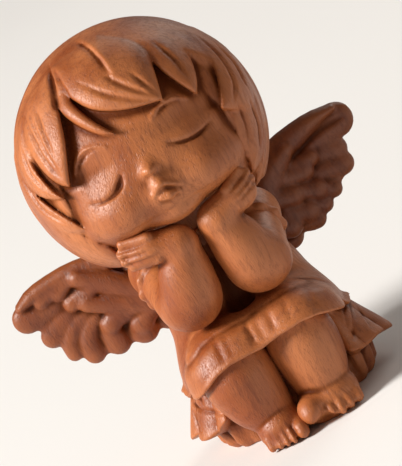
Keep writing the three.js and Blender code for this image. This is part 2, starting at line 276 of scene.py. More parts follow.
# ---- from clay to mesh
def surface_net(clay):
    """The surface as vertices and quads, with one vertex in each cell that it passes through."""
    field = clay.field
    inside = field < 0
    corners = np.zeros(tuple(n - 1 for n in field.shape), np.int8)
    for corner in CORNERS:
        corners += inside[tuple(slice(o, n - 1 + o) for o, n in zip(corner, field.shape))]
    mixed = (corners > 0) & (corners < 8)
    cells = np.argwhere(mixed)
    number = np.full(mixed.shape, -1)
    number[mixed] = np.arange(len(cells))

    total = np.zeros((len(cells), 3))
    count = np.zeros(len(cells))
    for axis, step in enumerate(AXES):
        for offset in (corner for corner in CORNERS if not corner[axis]):
            start = field[tuple((cells + offset).T)]
            end = field[tuple((cells + offset + step).T)]
            crossed = (start < 0) != (end < 0)
            share = start[crossed] / (start[crossed] - end[crossed])
            total[crossed] += offset + share[:, None] * step
            count[crossed] += 1
    vertices = clay.low + STEP * (cells + total / count[:, None])

    quads = []
    for axis, step in enumerate(AXES):
        one, two = AXES[(axis + 1) % 3], AXES[(axis + 2) % 3]
        first = inside[tuple(slice(0, n - s) for n, s in zip(field.shape, step))]
        second = inside[tuple(slice(s, n) for n, s in zip(field.shape, step))]
        edges = np.argwhere(first != second)
        leaving = first[tuple(edges.T)]
        corners = (edges, edges - one, edges - one - two, edges - two)
        faces = np.stack([number[tuple(corner.T)] for corner in corners], axis=1)
        faces[~leaving] = faces[~leaving, ::-1]
        quads.append(faces)
    return vertices, np.vstack(quads)


def blurred(field, radius):
    """The field averaged over a cube of samples."""
    result = field.astype(np.float64)
    width = 2 * radius + 1
    for axis in range(3):
        padded = np.moveaxis(result, axis, 0)
        padded = np.concatenate([padded[:1]] * (radius + 1) + [padded] + [padded[-1:]] * radius)
        total = np.cumsum(padded, axis=0)
        result = np.moveaxis((total[width:] - total[:-width]) / width, 0, axis)
    return result


def put(name, data):
    """A new object in the scene."""
    made = bpy.data.objects.new(name, data)
    bpy.context.scene.collection.objects.link(made)
    return made


GROOVE_RADIUS, CAVITY_RADIUS = 4, 11  # in samples
CAVITY_SHADE_SHARE = 0.9  # how much a wide cavity adds to the painted shade of a groove
DEEPEST = 2.5  # distances beyond this say nothing about a groove
WEAR = 0.5  # how far each vertex moves to the middle of its neighbours


def hollowness(clay, vertices, radius):
    """How sunken each vertex is: above 0.5 in a groove, below 0.5 on a ridge. radius is in samples."""
    soft = copy(clay)
    soft.field = blurred(np.clip(clay.field, -DEEPEST, DEEPEST), radius)
    return np.clip(0.5 - soft.sample(vertices) / (radius * STEP), 0, 1)


def carve_mesh(name, clay):
    """Turns finished clay into a Blender object, slightly worn smooth."""
    vertices, quads = surface_net(clay)
    # hollow drives the wood's colour: painted shade in grooves and wide recesses, and a paler tone on ridges
    # that is partly painted highlight
    groove, cavity = (hollowness(clay, vertices, radius) for radius in (GROOVE_RADIUS, CAVITY_RADIUS))
    hollow = groove + CAVITY_SHADE_SHARE * np.maximum(cavity - 0.5, 0)
    total = np.zeros_like(vertices)
    count = np.zeros(len(vertices))
    for i in range(4):
        a, b = quads[:, i], quads[:, (i + 1) % 4]
        np.add.at(total, a, vertices[b])
        np.add.at(count, a, 1)
    vertices = (1 - WEAR) * vertices + WEAR * total / np.maximum(count, 1)[:, None]
    mesh = bpy.data.meshes.new(name)
    mesh.vertices.add(len(vertices))
    mesh.vertices.foreach_set("co", (vertices * MM).astype(np.float32).ravel())
    mesh.loops.add(quads.size)
    mesh.loops.foreach_set("vertex_index", quads.astype(np.int32).ravel())
    mesh.polygons.add(len(quads))
    mesh.polygons.foreach_set("loop_start", np.arange(0, quads.size, 4, dtype=np.int32))
    mesh.update(calc_edges=True)
    mesh.validate()
    mesh.polygons.foreach_set("use_smooth", np.ones(len(mesh.polygons), bool))
    attribute = mesh.attributes.new("hollow", "FLOAT", "POINT")
    attribute.data.foreach_set("value", hollow.astype(np.float32))
    mesh.update()
    return put(name, mesh)


# ---- the frame's blocks
def block(node):
    """The lowest and highest corners of a CAD block, in millimetres."""
    low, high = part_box(node)
    return np.array(low) / MM, np.array(high) / MM


def place_piece(clay, node, origin=(0, 0, 0), turn=AXES):
    """Carves finished clay, moves it to the frame and puts it in the node's stead."""
    piece = carve_mesh("carved_" + node, clay)
    basis = np.eye(4)
    basis[:3, :3] = turn
    basis[:3, 3] = np.array(origin) * MM
    piece.data.transform(Matrix(basis.tolist()))
    if np.linalg.det(turn) < 0:
        piece.data.flip_normals()
    piece.data.update()
    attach(piece, "root")
    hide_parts(node)
    # Wings take the darker wood, which paints shade on them.
    piece.data.materials.append(SHADED_WING_WOOD if node.endswith("wing") else CARVED_WOOD)


# ---- head
HAIR = np.array([21.9, 20.8, 21.5])  # half width, half depth and half height of the bob
LOOK = radians(12)  # the face is laid out as seen from this far above
SIGHT = np.array([0, cos(LOOK), -sin(LOOK)])
RISE = np.array([0, sin(LOOK), cos(LOOK)])
FOREHEAD = 1.9  # how far the forehead lies below the hair


def seen_up(y, z):
    """How high a point of the head lies in the direction of sight."""
    return y * RISE[1] + z * RISE[2]


def on_front(clay, points, count=LINE_POINTS):
    """A line drawn on the front, as (sideways, upwards) in the direction of sight, laid on the surface."""
    line = curve(points, count)
    start = line[:, :1] * AXES[0] + line[:, 1:] * RISE - 45 * SIGHT
    return clay.hit(start, SIGHT)


def draw(clay, points, radii, raised, blend, count=LINE_POINTS, cut=False):
    """A tube along a line on the front. raised is the height of its axis as a share of its radius."""
    line = on_front(clay, points, count)
    sizes = radii(np.linspace(0, 1, len(line))) if callable(radii) else np.full(len(line), radii)
    tube(clay, line - SIGHT * (sizes * raised)[:, None], lambda shares: sizes, blend, cut)


def engrave(clay, points, radii, sunk=0.5, blend=0.3, count=LINE_POINTS):
    """A groove on the front. sunk is the share of its width that lies in the wood."""
    draw(clay, points, radii, 1 - 2 * sunk, blend, count, cut=True)


def bead(clay, points, radii, proud, blend):
    """A raised line on the front. proud is the share of its width that stands out."""
    draw(clay, points, radii, 2 * proud - 1, blend)


def relief(clay, change):
    """Raises or lowers the front by change(sideways, upwards) millimetres, without a seam."""
    slices, (x, y, z) = clay.window(clay.low, (BEYOND, 0, BEYOND))
    clay.field[slices] -= change(x, seen_up(y, z)) * ease(-y, 1, 5)


def hair_ball(x, y, z):
    return ellipsoid((0, 0, 0), HAIR).distance(x, y, z)


LOCKS_AROUND = 17
CROWN_TILT = radians(20)  # the crown lies behind the top of the head


def around_crown(x, y, z):
    """Angle round the crown, nought in front, and angle down from it."""
    up, back = z * cos(CROWN_TILT) + y * sin(CROWN_TILT), y * cos(CROWN_TILT) - z * sin(CROWN_TILT)
    size = np.sqrt(x * x + y * y + z * z) + 1e-6
    return np.arctan2(x, -back), np.arccos(np.clip(up / size, -1, 1))


def lock_phase(turn, drop):
    """Counts the locks round the head: whole numbers are the creases between them."""
    sway = 0.4 * np.sin(2 * turn + 0.7) + 0.25 * np.sin(5 * turn)
    return LOCKS_AROUND * turn / (2 * pi) + sway + 0.35 * np.sin(1.6 * drop)


def bob(x, y, z):
    """The head of hair, with creases that run down from the crown at the sides and back."""
    turn, drop = around_crown(x, y, z)
    phase = lock_phase(turn, drop)
    crease = 1 - np.abs(np.sin(pi * phase)) ** 0.55
    strand = 1 - np.abs(np.sin(3 * pi * phase + 0.6 * np.sin(3 * drop))) ** 0.8
    side = ease(np.abs(turn), 1.0, 1.5)
    fall = ease(drop, 0.3, 1.1)
    sunk = side * fall * (0.95 * crease + 0.3 * strand)
    window = np.sqrt(((x + 0.5) / 19.6) ** 2 + ((seen_up(y, z) + 3) / 16.8) ** 2)
    front = ease(1.06 - window, 0, 0.14) * ease(-y, 0, 3)
    front = front * (1 - 0.55 * ease(np.abs(x + 0.5), 12.5, 16))
    return hair_ball(x, y, z) + 0.3 * side + sunk + (FOREHEAD + 0.3) * front


def bob_edge(x, y, z):
    """Everything below the ends of the hair, which are cut in points."""
    turn, drop = around_crown(x, y, z)
    side = ease(np.abs(turn), 0.9, 1.4)
    notch = 1 - np.abs(np.sin(pi * lock_phase(turn, drop))) ** 0.8
    return z + 14.6 - side * (1.9 * notch - 0.5)


LOCK_EDGE = 0.5  # rounding of a lock's edges
LOCK_DEPTH = 4  # how far it reaches into the head


def lock(lift, dome, left, right):
    """A flat lock that lies on the hair ball, between two edges drawn on the front."""
    outline = np.vstack([curve(left, 14), curve(right, 14)[::-1]])
    low, high = outline.min(axis=0), outline.max(axis=0)

    def distance(x, y, z):
        flat = outline_distance(x, seen_up(y, z), outline)
        ball = hair_ball(x, y, z)
        top = ball - lift - dome * (1 - np.exp(np.minimum(flat, 0) / 1.4))
        body = -soft_min(-flat, -top, LOCK_EDGE)
        return np.maximum(np.maximum(body, -(ball + LOCK_DEPTH)), y + 1)

    rise = (low[1] * cos(LOOK) - 7, high[1] * cos(LOOK) + 7)
    return Shape((low[0], -HAIR[1] - 2, rise[0]), (high[0], -1, rise[1]), distance)


# The locks from the undermost up: how far each lies above the hair ball, how much it swells, and its left
# and right edges from root to tip, as (sideways, upwards) from the middle of the head.
LOCKS = [
    (-0.5, 0.8,  # beside the jaw
     [(-20.6, 1), (-21.6, -4), (-20.4, -9), (-18.6, -12.4), (-16, -14.9), (-12.8, -16.2)],
     [(-17.4, -3), (-17, -6.4), (-15.6, -8.8), (-13.9, -11), (-12.6, -13), (-12.2, -15.4)]),
    (-0.2, 0.7,  # right cheek
     [(-19.6, 9), (-21.4, 3), (-20.8, -2.5), (-18.9, -6), (-16.8, -7.5), (-14.7, -8)],
     [(-17.8, 11), (-19.7, 6), (-19.3, 2), (-17.8, -2.2), (-16.1, -5.4), (-14.7, -8)]),
    (0, 0.7,  # right temple
     [(-16.4, 13), (-18.9, 8.5), (-19.8, 4.8), (-18.8, 1), (-17, -0.9), (-15.2, -1.9)],
     [(-13.4, 15), (-15.8, 11), (-16.9, 7.5), (-17, 4), (-16.3, 0.6), (-15.2, -1.9)]),
    (-0.9, 0.8,  # left cheek
     [(16.5, 2.5), (15.9, -0.5), (14.9, -4), (14.2, -7.5), (13.9, -10.5), (13.3, -13.6)],
     [(20.8, 4), (21.4, -0.5), (20.9, -5), (19.4, -9.2), (17, -12.4), (13.3, -13.6)]),
    (-0.1, 0.7,  # left temple
     [(12.5, 16), (14.7, 12.6), (16.3, 8.6), (16.5, 4.4), (15.5, 1), (14.1, -2.1)],
     [(17.5, 12.5), (20.2, 7.6), (20.9, 2.6), (20.4, -2), (18.2, -4.6), (14.1, -2.1)]),
    (-0.3, 0.7,  # left brow
     [(5.5, 16.5), (7.2, 13), (8.2, 10.2), (9.2, 7.2), (10.5, 4.4), (11.8, 1.9)],
     [(12.5, 15), (13.8, 11.8), (14.1, 8.4), (13.6, 5.6), (12.9, 3.6), (11.8, 1.9)]),
    (0, 0.7,  # right brow
     [(-13.2, 16), (-15.8, 11.5), (-16.4, 7.5), (-16, 3.6), (-14.9, 0.8), (-13.5, -0.6)],
     [(-6.7, 18.3), (-7.7, 14.9), (-8.7, 11.5), (-10.3, 6.5), (-12.3, 2.1), (-13.5, -0.6)]),
    (-0.6, 0.9,  # a thin one beside the parting
     [(-7.3, 15.8), (-8.5, 12.6), (-8.8, 10.8), (-7.3, 7.3), (-4.9, 4.1), (-2.6, 2.8)],
     [(-5.8, 15.5), (-6.2, 11.5), (-5.6, 8.6), (-4.6, 6.2), (-3.6, 4.4), (-2.6, 2.8)]),
    (0.1, 0.9,  # the big one over the forehead
     [(-6.9, 18.3), (-7.3, 15), (-6.3, 12.2), (-4.6, 9), (-2.2, 6.9), (1.4, 5.2), (6.6, 3.9)],
     [(2.5, 19), (6.8, 15.5), (8.3, 12.5), (8.1, 10), (7.4, 6.8), (6.6, 3.9)]),
]


def hair(low, high):
    """The bob with its opening for the face, the locks in front and their strands."""
    clay = Clay(low, high)
    clay.add(Shape(low, high, bob))
    clay.cut(Shape(low, (high[0], high[1], -8), bob_edge), 0.4)
    clay.cut(ellipsoid((0, -1, -17.5), (13.5, 13, 6)), 1)

    def opening(x, y, z):
        window = np.sqrt(((x + 0.6) / 14.7) ** 2 + ((seen_up(y, z) + 4) / 15.8) ** 2)
        return np.maximum((window - 1) * 14, y + 6)

    clay.cut(Shape(low, (high[0], -5, high[2]), opening), 0.5)
    for shape in LOCKS:
        clay.add(lock(*shape), 0.15)
    clay.add(ellipsoid((-15, -11.6, -4.8), (1.3, 1.3, 1.3)), 0.6)
    comb_hair(clay)
    return clay


def comb_hair(clay):
    """Grooves that part the hair and its locks into strands."""
    fine = taper([0, 0.3, 0.8, 1], [0.15, 0.5, 0.48, 0.2])
    deep = taper([0, 0.4, 1], [0.15, 0.5, 0.55])
    engrave(clay, [(-6.6, 18.9), (-7.6, 15.4), (-8.8, 11.8)], deep, 0.45)
    engrave(clay, [(-6.2, 17.5), (-6.5, 14.5), (-6.2, 12)], fine)
    for points in (
        [(-3.9, 13.4), (-0.8, 9.2), (2.6, 6.3), (5.4, 4.6)],
        [(0.2, 12.4), (2.4, 9), (6.2, 4.7)],
        [(4.3, 10.4), (5.5, 7.4), (6.5, 4.9)],
        [(-14.2, 13.8), (-14.9, 9), (-14.9, 4.4), (-14.2, 1.4)],
        [(-13.3, 13.4), (-14, 9.2), (-14.2, 5.2), (-13.9, 1.4)],
        [(-12, 14), (-12.9, 9.6), (-13.4, 5)],
        [(-17.6, 9), (-18.3, 5), (-17.4, 1.2)],
        [(-20, 4), (-19.6, -1.5), (-17.4, -5.2)],
        [(16.8, 11), (18.5, 6), (18.4, 1), (16.6, -2)],
        [(19, 8), (20.1, 3.5), (19.8, -0.6)],
        [(17, -2.5), (16.6, -6), (15.4, -9.6)],
        [(19, -3), (18.4, -7), (16.6, -10.8)],
        [(10.2, 13), (11.6, 9), (12, 5)],
    ):
        engrave(clay, points, fine, 0.4, 0.25)
    relief(clay, parting)


def parting(sideways, upwards):
    """A low lock down from the crown, sharp along its right edge and falling softly to its left."""
    edge = np.interp(upwards, [9, 11.8, 14.6, 17, 18.8, 20.5], [0.6, 1.6, 1.4, 0.9, 0.2, -0.8])
    beside = sideways - edge
    ridge = 0.6 * np.exp(-np.maximum(beside, 0) / 1.5) * ease(beside, -0.35, 0.35)
    groove = 0.35 * np.exp(-(((beside + 0.35) / 0.5) ** 2))
    return (ridge - groove) * ease(upwards, 9.5, 15) * ease(20.6 - upwards, 0, 2.6)


def forehead(x, y, z):
    below = FOREHEAD + 0.25 * ease(2 - seen_up(y, z), 0, 6)
    return np.maximum(hair_ball(x, y, z) + below, y + 3)


def under_jaw_locks(x, y, z):
    """Wood behind the locks beside the jaw, so that the cheeks run on under them."""
    bounds = np.maximum(np.maximum(12.4 - np.abs(x), -13.2 - z), np.maximum(y + 3, z - 1))
    return np.maximum(hair_ball(x, y, z) + 1.8 + 0.6 * ease(z, -8, -2), bounds)


def face(low, high):
    """Forehead, cheeks, chin and neck, with the features carved into them."""
    clay = Clay(low, high)
    clay.add(Shape((-19, -20, -7), (19, 0, 16), forehead))
    clay.cut(slab((-30, -30, -30), (30, 30, -6.5)), 3)
    clay.cut(slab((15.2, -30, -30), (30, 30, 30)), 2)
    clay.add(ellipsoid((-0.5, -3.6, -3.6), (15.3, 14.8, 8.2)), 4)
    clay.add(Shape((-21, -20, -14), (21, 0, 2), under_jaw_locks), 1.5)
    for side in (-1, 1):
        clay.add(ellipsoid((side * 8.0 - 0.5, -10.4, -5.4), (6.8, 7.6, 5.2)), 2.5)
        clay.add(ellipsoid((side * 6.4 - 0.4, -15.2, -5.2), (4.4, 4, 3.8)), 2.5)
    clay.add(ellipsoid((-0.3, -14.4, -9), (4.4, 4.4, 2.4)), 2.5)
    clay.add(limb((0.3, 3, -21), 5.6, (0, 2.5, -8), 6))
    features(clay)
    return clay


def spot(clay, sideways, upwards):
    """The point of the surface at one place on the front."""
    return on_front(clay, [(sideways, upwards), (sideways, upwards + 0.01)], 2)[0]


def sockets(sideways, upwards):
    """A shallow hollow under each brow, and the swell of the closed lid below it."""
    change = 0
    for middle, height in ((-8.6, -0.9), (7.6, -0.2)):
        away = (sideways - middle) / 4.6
        change = change - 0.42 * np.exp(-(away**2) - ((upwards - height - 0.4) / 2.2) ** 2)
        change = change + 0.28 * np.exp(-(away**2) * 1.3 - ((upwards - height + 2.6) / 1.7) ** 2)
    return change


def features(clay):
    """Closed eyes, brows, a small nose and parted lips. The head leans a little to its right."""
    relief(clay, sockets)
    for brow in (
        [(-11.6, 0.4), (-10.6, 1.6), (-9.5, 2.3), (-8.2, 2.7), (-6.8, 2.4), (-5.4, 1.6)],
        [(3.8, 1.8), (5, 2.5), (6.7, 2.9), (8.3, 2.8), (9.6, 2)],
    ):
        bead(clay, [(s, u + 0.35) for s, u in brow], taper([0, 0.5, 1], [0.2, 0.5, 0.2]), 0.42, 0.8)
        engrave(clay, brow, taper([0, 0.4, 1], [0.2, 0.48, 0.15]), 0.55, 0.25)
    lid = [(-12.2, -4.7), (-10.3, -5.4), (-8.3, -5.4), (-6.7, -4.7), (-5.4, -3.2)]
    engrave(clay, lid, taper([0, 0.35, 0.8, 1], [0.15, 0.36, 0.68, 0.3]), 0.55, 0.25)
    lid = [(3.8, -2.5), (5.5, -3.4), (7.6, -3.8), (9.6, -3.6), (11.6, -2.9)]
    engrave(clay, lid, taper([0, 0.3, 0.7, 1], [0.25, 0.45, 0.4, 0.12]), 0.55, 0.25)

    bridge, tip = spot(clay, -0.9, -3.3), spot(clay, -1.1, -4.8)
    clay.add(limb(bridge + SIGHT * 1.1, 0.7, tip + SIGHT * 0.35, 1.05), 1.6)
    clay.add(ellipsoid(tip - SIGHT * 0.25, (1.05, 1.1, 0.75)), 0.7)
    for side in (-1, 1):
        clay.add(ellipsoid(tip + np.array([side * 1, 0.8, -0.3]), (0.6, 0.7, 0.5)), 0.4)
        engrave(clay, [(side * 0.9 - 1.25, -5.7), (side * 0.45 - 1, -5.8)], 0.3, 0.5, 0.25, 4)

    clay.add(ellipsoid(spot(clay, -0.5, -8.9) + SIGHT * 1.25, (3.2, 2, 2.3)), 1.8)
    clay.add(ellipsoid(spot(clay, -0.9, -7.4) + SIGHT * 0.5, (1.2, 1, 1.3)), 0.9)
    upper_lip = [(-2.3, -8.9), (-1.4, -8.1), (-0.7, -7.7), (0.3, -8.2), (1.6, -9.1)]
    bead(clay, upper_lip, taper([0, 0.5, 1], [0.4, 0.72, 0.35]), 0.45, 0.7)
    lower_lip = [(-1.4, -9.8), (-0.2, -10), (0.9, -9.9)]
    bead(clay, lower_lip, taper([0, 0.5, 1], [0.45, 0.8, 0.45]), 0.42, 0.8)
    mouth = [(-2.4, -9.5), (-1.5, -8.9), (-0.6, -8.45), (0.3, -8.9), (1.2, -9.4), (2.2, -9.95)]
    engrave(clay, mouth, taper([0, 0.5, 0.85, 1], [0.2, 0.46, 0.5, 0.25]), 0.65, 0.2)
    engrave(clay, [(-1.8, -10.6), (-0.5, -11), (1.1, -10.7)], 0.35, 0.35, 0.7)


def build_head():
    low, high = block("head")
    middle = np.array([(low[0] + high[0]) / 2, high[1] - HAIR[1], high[2] - HAIR[2]])
    low, high = low - middle - 1, high - middle + 1
    low[1] = -HAIR[1] - 3
    clay = hair(low, high)
    clay.field = np.minimum(clay.field, face(low, high).field)
    place_piece(clay, "head", middle)


# ---- arms
def arm_joints(side):
    """The shoulder, elbow and wrist in the frame, from the corners of the arm's block."""
    low, high = block(SIDES[side] + "_arm")
    outer = low[0] if side < 0 else high[0]
    elbow_in, wrist_up = (7.5, 15) if side < 0 else (8.1, 15.6)
    shoulder = np.array([outer - side * 5, high[1] - 3.9, low[2] + 9.8])
    elbow = np.array([outer - side * elbow_in, low[1] + 5.6, low[2] + 5.4])
    wrist = np.array([outer - side * 10.7, low[1] + 3.1, low[2] + wrist_up])
    return shoulder, elbow, wrist


# Knuckle and tip of each finger from the top one down, outwards and upwards from the wrist.
RIGHT_FINGERS = [
    ((4, 4.2), (8, 4.9)), ((4.6, 2.9), (8.9, 3.5)), ((4.4, 1.6), (8.9, 2.1)), ((4, 0.4), (8.1, 0.9)),
]
LEFT_FINGERS = [
    ((3.8, 4), (6.6, 5.5)), ((4.6, 3), (7.7, 4.5)), ((4.7, 1.9), (7.9, 3.3)), ((4.3, 0.8), (7.1, 2.1)),
]


def build_arm(side):
    name = SIDES[side] + "_arm"
    low, high = block(name)
    clay = Clay(low - 2, high + 2)
    shoulder, elbow, wrist = arm_joints(side)
    wrist = wrist + (0, -0.2, 0)
    upper = Clay(low - 2, high + 2)
    upper.add(limb(shoulder, 4.2, elbow + (side * 1.2, 1.6, 0.6), 4.5))
    clay.add(ellipsoid(elbow + (0, 0.4, 0), (5.6, 5, 5.1)))
    clay.add(limb(elbow - (side * 0.9, 0.6, -1.6), 4.7, wrist - (side * 0.1, 0, 0), 3.3), 1.2)
    clay.add(ellipsoid(elbow * 0.6 + wrist * 0.4 + (-side * 0.2, -0.6, 0), (4.1, 3.8, 5.4)), 2)
    clay.field = soft_min(clay.field, upper.field, 0.35)
    palm = wrist + (side * 4.2, -0.2, 2.2)
    clay.add(limb(wrist + (side * 0.2, -0.1, 0.9), 2.8, palm, 2.6), 1.2)
    clay.add(ellipsoid(palm + (side * 1.2, -0.1, 0.1), (3, 2.2, 2.8)), 1)
    fingers = np.array(RIGHT_FINGERS if side < 0 else LEFT_FINGERS)
    for knuckle, tip in fingers:
        start = wrist + (side * knuckle[0], -1.5, knuckle[1])
        end = wrist + (side * tip[0], 0.2, tip[1])
        clay.add(limb(start, 1.1, end, 0.95), 0.2)
        clay.add(limb(end, 0.95, end + (-side * 0.6, 1.6, 0), 0.8), 0.2)
    for (near, near_up), (far, far_up) in (fingers[1:] + fingers[:-1]) / 2:
        ends = wrist + [(side * (near - 0.6), -20, near_up), (side * (far + 0.9), -20, far_up)]
        groove = clay.hit(np.linspace(*ends, 10), AXES[1])
        tube(clay, groove, taper([0, 0.3, 1], [0.12, 0.34, 0.36]), 0.15, cut=True)
    place_piece(clay, name)


# ---- legs
def build_leg(side):
    name = SIDES[side] + "_leg"
    low, high = block(name)
    clay = Clay((low[0] - 2, low[1] - 2, 0), high + 2)
    knee_radius, ankle_radius = (5.9, 4.1) if side < 0 else (5.6, 4.6)
    ankle = np.array([side * (4.3 if side < 0 else 5.4), low[1] + 7.4, 6])
    knee = np.array([side * 6.1, low[1] + 7.6, high[2] - 5])
    clay.add(limb((side * 6.2, -2.5, high[2] - 5.6), 4.8, knee, 5.4))
    clay.add(limb(knee + (0, 0.3, 6), knee_radius - 0.2, knee, knee_radius), 1)
    clay.add(limb(knee, knee_radius, ankle, ankle_radius), 1.5)
    clay.add(ellipsoid(knee * 0.5 + ankle * 0.5 + (side * 0.6, 0.5, 0), (5.2, 5.5, 6.2)), 2)
    foot_x, half = (-4.1, 3.9) if side < 0 else (5.3, 5.1)
    foot = Clay((low[0] - 2, low[1] - 2, 0), high + 2)
    foot.add(ellipsoid((foot_x, low[1] + 6.9, 3.3), (half + 0.3, 5, 3.9)))
    foot.add(ellipsoid((foot_x, low[1] + 5.2, 2.2), (half, 3.2, 3.4)), 1)
    toes(foot, side, foot_x, half, low[1])
    clay.field = soft_min(clay.field, foot.field, 0.35)
    clay.cut(slab((-30, -40, -10), (30, 40, 0)))
    clay.cut(slab((-30, -40, high[2] + 0.6), (30, 40, 60)))
    place_piece(clay, name)


def toes(clay, side, foot_x, half, front):
    """Five toes, the big one innermost. The left big toe is raised and turned in over the right foot."""
    width = 2 * half / 6.1
    raised = side > 0
    for number in range(5):
        big = number == 0
        outwards = -half + width * (1.0 if big else 1.55 + number * 0.98)
        centre_x = foot_x + side * outwards
        radius = width * (0.92 if big else 0.62)
        reach = 0.12 * number * number
        if big and raised:
            clay.add(ellipsoid((centre_x - side * 0.5, front + 3, 3.5), (2.2, 2.6, 2.2)), 1.6)
            clay.add(ellipsoid((centre_x - side * 0.9, front + 1.9, 2.9), (1.6, 1.7, 1.5)), 0.6)
            continue
        tip = (centre_x, front + 0.9 + radius * 0.4 + reach, radius + 0.2)
        root = (centre_x, front + 4.2 + reach, 3.9 - radius * 0.5)
        knuckle = (centre_x, front + 1.9 + reach, 2.5 - radius * 0.3)
        clay.add(limb(root, radius, knuckle, radius), 0.3)
        clay.add(limb(knuckle, radius, tip, radius), 0.3)
    for number in range(1, 5):
        gap_x = foot_x + side * (-half + width * (1.03 + number * 0.98))
        groove = clay.hit([(gap_x, -40, z) for z in np.linspace(0.2, 3.6, 10)], AXES[1])
        tube(clay, groove, taper([0, 0.6, 1], [0.3, 0.28, 0.1]), 0.2, cut=True)
    if raised:
        clay.cut(ellipsoid((foot_x - half + 2.6, front + 0.5, 0), (2.6, 2.8, 1.9)), 0.5)


# ---- dress
HEM = [  # lower edge of the overskirt in front, as (sideways, height)
    (-17.6, 11.6), (-16.2, 12.2), (-14, 13.7), (-11.4, 15.4), (-9, 16.8), (-6.3, 17.5), (-3, 17.4),
    (-0.2, 17.1), (3.2, 17.6), (7.2, 17.8), (10.2, 17.2), (13, 15.9), (15.2, 14.4), (16.8, 12.7),
]


def around_dress(x, y):
    """Angle round the dress: nought in front, positive to the cherub's left."""
    return np.arctan2(x, -(y - 1.5))


def cloth(x, y, z, heights, halves, flatness, centre, fold, top):
    """Distance from an upright oval column with folds. halves are its half widths at a few heights."""
    half = np.interp(z, heights, halves).astype(np.float32)
    wide, deep = half + fold, half * flatness + fold
    near = np.sqrt(((x - centre[0]) / wide) ** 2 + ((y - centre[1]) / deep) ** 2)
    return np.maximum((near - 1) * np.minimum(wide, deep), z - top)


def back_folds(turn):
    return 0.5 * np.cos(13 * turn + 0.8 * np.sin(2 * turn))


def overskirt(x, y, z):
    heights = [10, 12.5, 14, 17, 21, 24, 28, 31, 34]
    halves = [17, 16.2, 15, 14, 13.2, 12.6, 11.4, 10, 8]
    turn = around_dress(x, y)
    fold = ease(np.abs(turn), 1.2, 1.9) * back_folds(turn) * ease(24 - z, 0, 11)
    return cloth(x, y, z, heights, halves, 0.84, (0.6, 1.6 + 0.03 * (20 - z)), fold, 35)


def underskirt(x, y, z):
    turn = around_dress(x, y)
    pleat = np.abs(np.sin(9.5 * turn + 0.5 * np.sin(3 * turn)))
    pleat = (pleat**0.7 - 0.6) * 1.3 * ease(14 - z, 0, 9)
    return cloth(x, y, z, [3, 4.5, 8.5, 13], [19.7, 19.3, 17.2, 15], 0.86, (1, 1), pleat, 14)


def underskirt_edge(x, y, z):
    """Everything below the lower edge of the underskirt."""
    turn = around_dress(x, y)
    rise = 2.8 * ease(-y, 3, 12)
    return z - (4.0 + rise + 0.6 * np.cos(9.5 * turn + 0.6) + 0.3 * np.cos(5 * turn))


def petticoat(x, y, z):
    pleat = 0.45 * np.cos(26 * around_dress(x, y))
    return cloth(x, y, z, [0, 1.2, 4, 8], [13.8, 14.9, 15.4, 14.6], 0.84, (0.9, 0.4), pleat, 8)


def below_hem(x, y, z):
    """Everything below the overskirt's hem, which waves lower at the sides and back."""
    front = np.interp(x, *zip(*HEM)).astype(np.float32)
    back = 12.0 + back_folds(around_dress(x, y))
    share = ease(-y, 1, 9)
    return z - (front * share + back * (1 - share))


LAP_TOP = 23.2
OVER_LEG = 8.6  # radius of the cloth over a thigh


def lap(clay, front):
    """Cloth over the thighs and knees."""
    knee_y = front + OVER_LEG
    for side in (-1, 1):
        hip = (side * 4.6 + 0.5, 3, LAP_TOP - 9.4)
        clay.add(limb(hip, OVER_LEG, (side * 5.0 + 0.4, knee_y, LAP_TOP - 8.3), 8.2), 2)
    clay.add(limb((-6.4, knee_y, LAP_TOP - 8.6), 7.6, (7.2, knee_y, LAP_TOP - 8.6), 7.6), 3)
    clay.add(limb((-6, -3, 13.5), 8.4, (7.2, -3, 13.5), 8.4), 3)


def build_dress():
    low, high = block("dress")
    low[2] = 0
    clay = Clay(low - (3, 2, 0), high + (3, 2, 2))
    under = copy(clay)
    under.field = clay.field.copy()
    reach = (low - 3, high + 3)
    clay.add(Shape(*reach, overskirt))
    clay.add(limb((0, 2.6, 25), 11.4, (0, 2.4, 31.5), 7.8), 2)
    lap(clay, low[1] + 1)
    clay.cut(limb((0.5, -9.5, 24.6), 2.8, (0.5, -7, 37), 3.2), 1.6)
    clay.cut(Shape(*reach, below_hem), 0.4)
    hem_details(clay)

    under.add(Shape(*reach, underskirt))
    under.cut(Shape(*reach, underskirt_edge), 0.4)
    under.add(Shape(*reach, petticoat))
    under.cut(slab((-11, -40, -1), (11.6, -7.5, 30)), 1.5)
    flap_creases(under)
    clay.field = np.minimum(clay.field, under.field)
    sleeves(clay)
    collar(clay)
    clay.cut(slab((-60, -60, -10), (60, 60, 0)))
    place_piece(clay, "dress")


# Folds in the two front corners of the underskirt: a radius, and a line of (sideways, height).
FLAP_CREASES = [
    (0.30, [(-16.6, 10.6), (-14.2, 9.3), (-11.9, 8.2)]),
    (0.28, [(-14.9, 12.6), (-15.1, 10.6)]),
    (0.28, [(-13.8, 12.8), (-13.9, 10.2)]),
    (0.28, [(-12.6, 13), (-12.7, 9.6)]),
    (0.28, [(-16, 9.4), (-16.6, 6.2)]),
    (0.28, [(16.6, 11.8), (15.2, 9.6), (13.7, 7.8)]),
    (0.20, [(15.3, 12.6), (14, 10)]),
    (0.25, [(17.2, 10), (17.6, 6.5)]),
]


def flap_creases(clay):
    for size, points in FLAP_CREASES:
        line = curve(points, 14)
        start = np.insert(line, 1, -40, axis=1)
        radii = taper([0, 0.3, 0.8, 1], [size * 0.4, size, size, size * 0.5])
        tube(clay, clay.hit(start, AXES[1]), radii, 0.4, cut=True)


# Creases between the hem and the line above it, as (sideways, strength).
CREASES = [
    (-10.4, 0.25), (-6.9, 0.45), (-5.2, 0.2), (-1, 0.6), (0.6, 0.3), (3, 0.5), (6.2, 0.25), (10.6, 0.3),
]
STITCHED_AT = 4.5  # height of the stitched line above the hem


